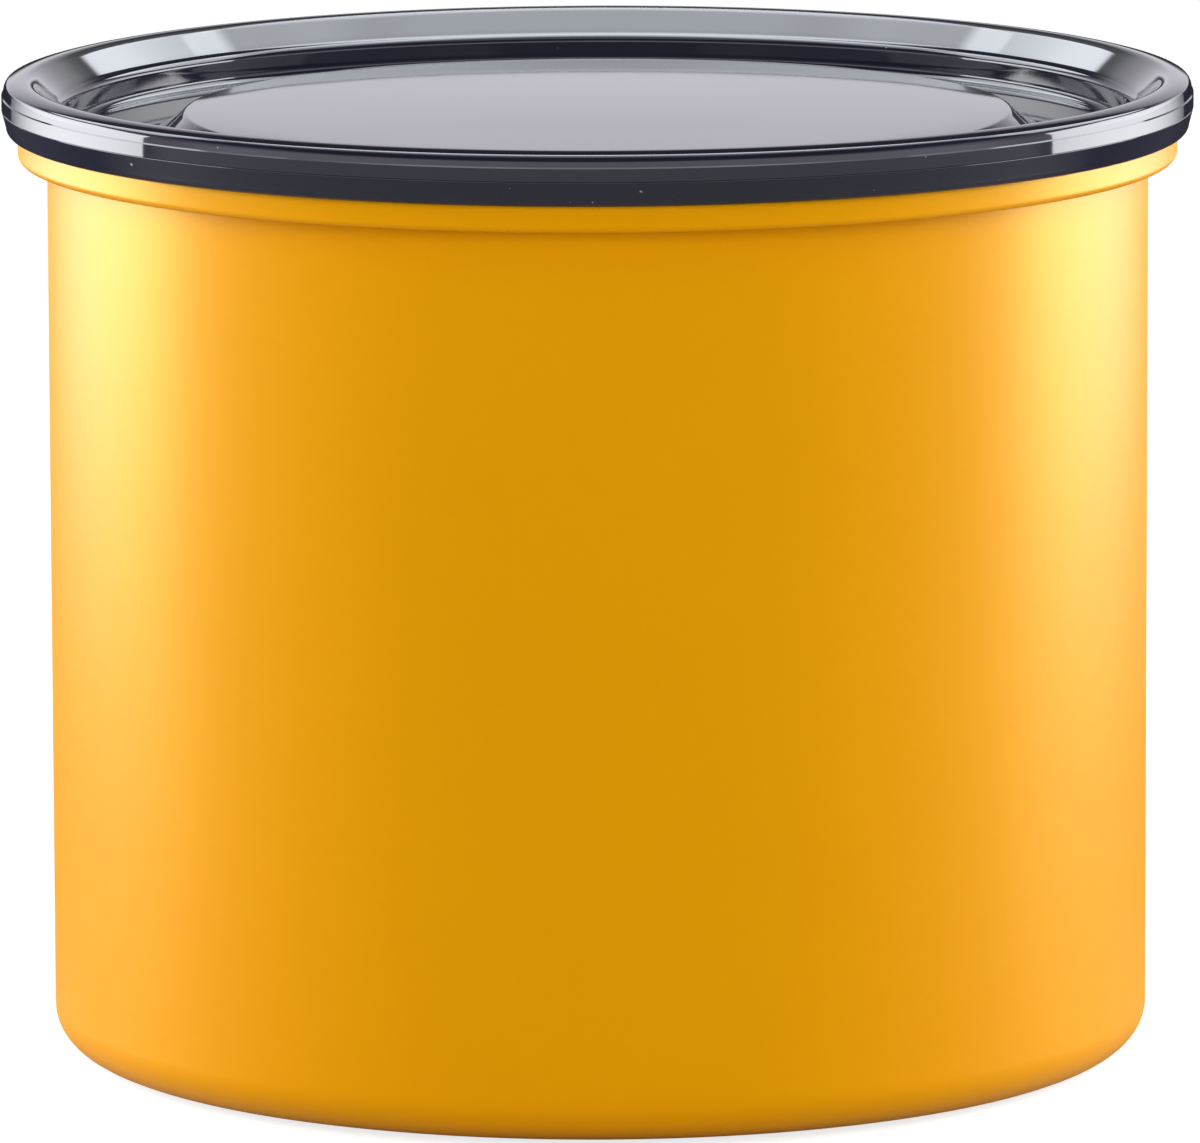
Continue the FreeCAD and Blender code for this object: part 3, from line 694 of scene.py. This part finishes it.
def turned(name, corners, sharp_from):
    """A closed piece turned about the Z axis. Edges over sharp_from degrees stay sharp."""
    points = section(corners)
    bpy.ops.object.select_all(action="DESELECT")
    bpy.ops.mesh.primitive_plane_add(size=millimetre, location=(points[0].x, 0, points[0].y))
    piece = bpy.context.object
    piece.name = name
    bpy.ops.object.transform_apply(location=True, rotation=True, scale=True)
    bpy.ops.object.mode_set(mode="EDIT")
    bpy.ops.mesh.select_all(action="SELECT")
    bpy.ops.mesh.merge(type="CENTER")
    for here, there in zip(points, points[1:]):
        move = (there.x - here.x, 0, there.y - here.y)
        bpy.ops.mesh.extrude_region_move(TRANSFORM_OT_translate={"value": move})
    bpy.ops.mesh.select_all(action="SELECT")
    bpy.ops.mesh.spin(steps=steps_round, angle=2 * math.pi, center=(0, 0, 0), axis=(0, 0, 1))
    bpy.ops.mesh.select_all(action="SELECT")
    bpy.ops.mesh.remove_doubles(threshold=same_point)
    bpy.ops.mesh.normals_make_consistent(inside=False)
    bpy.ops.object.mode_set(mode="OBJECT")
    bpy.ops.object.shade_smooth_by_angle(angle=math.radians(sharp_from))
    print(name, len(piece.data.vertices), "points,", len(piece.data.polygons), "faces")
    return piece


def dress(piece, body, finish, replaced):
    """Puts a piece on its body, in its finish, in the place of the frame's own node."""
    piece.data.materials.clear()
    piece.data.materials.append(finish.owner)
    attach(piece, body)
    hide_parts(replaced)


print("Lathe of", steps_round, "steps")

# %% [markdown]
# ## The shell
#
# The real shell is drawn from steel sheet, powder coated outside and bare inside. Its edge is
# rolled outwards into a bead, and the base is drawn up into a shallow recess. The outside
# sizes come from the frame, and the wall and the bead are worked out inwards from them.

# %% Sizes of the shell, in millimetres
shell_low, shell_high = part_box("canister_body")
rim_top = round(shell_high.z / millimetre, 2)
rim_outside = round(shell_high.x / millimetre, 2)
foot_level = round(shell_low.z / millimetre, 2)
wall = 0.6
rim_reach = 3.1
rim_height = 4.3
rim_corner = 0.7
rolled_gap = 0.3
base_corner = 4.5
stand_ring = 5.2
recess_depth = 1.0

shell_radius = rim_outside - rim_reach
mouth_radius = shell_radius - wall
bead_radius = (rim_reach + wall) / 2
bead_centre = mouth_radius + bead_radius
bead_level = rim_top - bead_radius
rim_bottom = rim_top - rim_height
recess_radius = shell_radius - base_corner - stand_ring - recess_depth
slope_offset = wall * (math.sqrt(2) - 1)
print("Shell", 2 * shell_radius, "mm across, mouth", 2 * mouth_radius)

# %% Turn the shell
shell = turned("canister_shell", [
    # under the base and up the outside
    (0, foot_level + recess_depth),
    (recess_radius, foot_level + recess_depth),
    (recess_radius + recess_depth, foot_level),
    (shell_radius - base_corner, foot_level),
    (shell_radius, foot_level + base_corner, base_corner, 1),
    (shell_radius, bead_level),
    # the hollow of the rolled rim, out and back to its cut edge
    (bead_centre, rim_top - wall, bead_radius - wall, -1),
    (rim_outside - wall, bead_level, bead_radius - wall, -1),
    (rim_outside - wall, rim_bottom + rim_corner),
    (rim_outside - rim_corner, rim_bottom + wall, rim_corner - wall, -1),
    (shell_radius + rolled_gap, rim_bottom + wall),
    (shell_radius + rolled_gap, rim_bottom),
    # the outside of the rolled rim and over its top
    (rim_outside - rim_corner, rim_bottom),
    (rim_outside, rim_bottom + rim_corner, rim_corner, 1),
    (rim_outside, bead_level),
    (bead_centre, rim_top, bead_radius, 1),
    (mouth_radius, bead_level, bead_radius, 1),
    # down the inside and across the floor
    (mouth_radius, foot_level + base_corner),
    (shell_radius - base_corner, foot_level + wall, base_corner - wall, -1),
    (recess_radius + recess_depth + slope_offset, foot_level + wall),
    (recess_radius + slope_offset, foot_level + recess_depth + wall),
    (0, foot_level + recess_depth + wall),
], sharp_from=40)
dress(shell, "canister", body_coat, "canister_body")

# %% [markdown]
# The coat ends inside the mouth, below the bead. The faces of the inner wall and the floor
# are found by their place and by the way they face, and get the bare steel.

# %% Bare steel inside
inside_margin = 0.3
facing_up = 0.5
steel_slot = 1

shell.data.materials.append(inside_steel.owner)
inside_reach = (mouth_radius + inside_margin) * millimetre
coat_end = bead_level * millimetre
floor_top = (foot_level + wall / 2) * millimetre
for face in shell.data.polygons:
    spot, normal = face.center, face.normal
    faces_in = normal.x * spot.x + normal.y * spot.y < 0 or normal.z > facing_up
    inside = math.hypot(spot.x, spot.y) < inside_reach and floor_top < spot.z < coat_end
    if inside and faces_in:
        face.material_index = steel_slot
bare = [face for face in shell.data.polygons if face.material_index == steel_slot]
print("Bare steel on", len(bare), "of", len(shell.data.polygons), "faces")

# %% [markdown]
# ## The outer lid
#
# The lid is one moulding of smoke plastic, and what one sees of it is what its curves mirror.
# From the outside in: an upright side with a fine parting line and a ridge, a facet that leans
# in, a small chamfer, a rolled crest, an inner slope, a narrow ledge, a steep wall down to a
# trough, and a rise to a wide, gently domed plateau. Each of these is a line of light or dark
# in the photograph, which is why the section has so many stretches. Under the lid a ring plugs
# the mouth, and the skirt hangs over the rolled rim.

# %% Sizes of the lid, in millimetres
lid_low, lid_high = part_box("outer_lid")
crest = round(lid_high.z / millimetre, 2)
lid_radius = round(lid_high.x / millimetre, 2)
plug_bottom = round(lid_low.z / millimetre, 2)
lid_fit = 0.2
lid_wall = 1.2
plug_lead = 0.4
core_depth = 1.8
seat_land = 0.5
skirt_inside = rim_outside + lid_fit
skirt_bottom = rim_top - 1.45
skirt_taper = 0.45
lip_round = 0.8
parting_level = 101.7
parting_depth = 0.05
parting_half = 0.06
ridge_level = crest - 1.65
ridge_step = 0.13
facet_lean = math.radians(10)
chamfer_lean = math.radians(20)
chamfer_height = 0.3
crest_round = 0.5
crest_turn = math.radians(72)
crest_top = 6.0
crest_inner = 1.6
inner_slope = math.radians(43)
ledge_level = crest - 2.58
ledge_run = 0.34
ledge_tilt = math.radians(22)
step_round = 0.9
step_steep = math.radians(89)
trough_level = crest - 6.0
trough_fillet = 0.9
rise_slope = math.radians(40)
rise_fillet = 1.0
rise_round = 0.8
shoulder_radius = 43.8
shoulder_level = crest - 3.65
shoulder_run = 10.0
shoulder_rise = 0.14
plateau_dome = 0.2
print("Lid", 2 * lid_radius, "mm across, crest at", crest)

# %% [markdown]
# The places where one stretch meets the next are worked out from the slopes and radii, so the
# stretches run on smoothly when one of them is changed. The crest and the ledge are found from
# the outside in, and the rise from the plateau outwards.

# %% Places along the section
turn_level = crest - crest_top * (1 - math.sin(crest_turn))
round_level = turn_level - crest_round * (math.sin(crest_turn) - math.sin(chamfer_lean))
side_level = round_level - chamfer_height
facet_height = side_level - ridge_level - ridge_step
crest_side = lid_radius - ridge_step - facet_height * math.tan(facet_lean)
round_start = crest_side - chamfer_height * math.tan(chamfer_lean)
turn_radius = round_start - crest_round * (math.cos(chamfer_lean) - math.cos(crest_turn))
crest_radius = turn_radius - crest_top * math.cos(crest_turn)
slope_start = crest_radius - crest_inner * math.sin(inner_slope)
slope_level = crest - crest_inner * (1 - math.cos(inner_slope))
ledge_radius = slope_start - (slope_level - ledge_level) / math.tan(inner_slope)
step_start = ledge_radius - ledge_run
step_level = ledge_level - ledge_run * math.tan(ledge_tilt)
step_side = step_start - step_round * (math.sin(step_steep) - math.sin(ledge_tilt))
step_side_level = step_level - step_round * (math.cos(ledge_tilt) - math.cos(step_steep))
fillet_level = trough_level + trough_fillet * (1 - math.cos(step_steep))
fillet_radius = step_side - (step_side_level - fillet_level) / math.tan(step_steep)
trough_outside = fillet_radius - trough_fillet * math.sin(step_steep)
rise_top = shoulder_radius + rise_round * math.sin(rise_slope)
rise_top_level = shoulder_level - rise_round * (1 - math.cos(rise_slope))
rise_foot_level = trough_level + rise_fillet * (1 - math.cos(rise_slope))
rise_foot = rise_top + (rise_top_level - rise_foot_level) / math.tan(rise_slope)
trough_inside = rise_foot + rise_fillet * math.sin(rise_slope)
shoulder_round = (shoulder_run ** 2 + shoulder_rise ** 2) / (2 * shoulder_rise)
plateau_flat = shoulder_radius - shoulder_run
plateau_level = shoulder_level + shoulder_rise
dome_radius = (plateau_flat ** 2 + plateau_dome ** 2) / (2 * plateau_dome)
plug_radius = mouth_radius - lid_fit
print("Trough from", round(trough_inside, 2), "to", round(trough_outside, 2), "mm off the axis")

# %% Turn the lid
lid = turned("lid_moulding", [
    # under the plateau and the trough
    (0, plateau_level - lid_wall),
    (plateau_flat, plateau_level - lid_wall),
    (shoulder_radius, shoulder_level - lid_wall, shoulder_round, -1),
    (rise_foot, trough_level - lid_wall),
    (plug_radius - lid_wall, trough_level - lid_wall),
    # round the plug, and over the shell's bead
    (plug_radius - lid_wall, plug_bottom),
    (plug_radius - plug_lead, plug_bottom),
    (plug_radius, plug_bottom + plug_lead),
    (plug_radius, bead_level),
    (bead_centre, rim_top + lid_fit, bead_radius + lid_fit, -1),
    (bead_centre + seat_land, rim_top + lid_fit),
    (bead_centre + seat_land, rim_top + core_depth),
    # round the skirt's lip and up its side
    (skirt_inside, rim_top + core_depth),
    (skirt_inside, skirt_bottom),
    (lid_radius - skirt_taper - lip_round, skirt_bottom),
    (lid_radius - skirt_taper, skirt_bottom + lip_round, lip_round, 1),
    (lid_radius, parting_level - parting_half),
    (lid_radius - parting_depth, parting_level),
    (lid_radius, parting_level + parting_half),
    (lid_radius, ridge_level),
    (lid_radius - ridge_step, ridge_level + ridge_step),
    # over the crest and down the inner slope to the ledge
    (crest_side, side_level),
    (round_start, round_level),
    (turn_radius, turn_level, crest_round, 1),
    (crest_radius, crest, crest_top, 1),
    (slope_start, slope_level, crest_inner, 1),
    (ledge_radius, ledge_level),
    # down the step into the trough
    (step_start, step_level),
    (step_side, step_side_level, step_round, 1),
    (fillet_radius, fillet_level),
    (trough_outside, trough_level, trough_fillet, -1),
    (trough_inside, trough_level),
    # up the rise and across the plateau
    (rise_foot, rise_foot_level, rise_fillet, -1),
    (rise_top, rise_top_level),
    (shoulder_radius, shoulder_level, rise_round, 1),
    (plateau_flat, plateau_level, shoulder_round, 1),
    (0, plateau_level + plateau_dome, dome_radius, 1),
], sharp_from=30)
dress(lid, "outer_lid", smoke_lid, "outer_lid")

# %% [markdown]
# ## The pieces that keep their shape
#
# The inner lid with its gasket, valve, spring, screws, pins and handle, and the pad under the
# base, are small or plain enough to keep the frame's own shapes. Turning or modelling them
# again would add nothing that shows, so they only get their finishes.

# %% Dress the other pieces
kept = {
    "base_pad": rubber,
    "inner_lid_plate": plate_plastic,
    "rim_gasket": silicone,
    "valve_cover": plate_plastic,
    "cover_screws": small_steel,
    "valve_plunger": plunger_plastic,
    "valve_seal": silicone,
    "valve_spring": small_steel,
    "handle": bail_plastic,
    "hinge_pin_left": small_steel,
    "hinge_pin_right": small_steel,
}
for name, finish in kept.items():
    nodes[name].data.materials.clear()
    nodes[name].data.materials.append(finish.owner)
print("Kept pieces:", len(kept))

# %% [markdown]
# ## The end
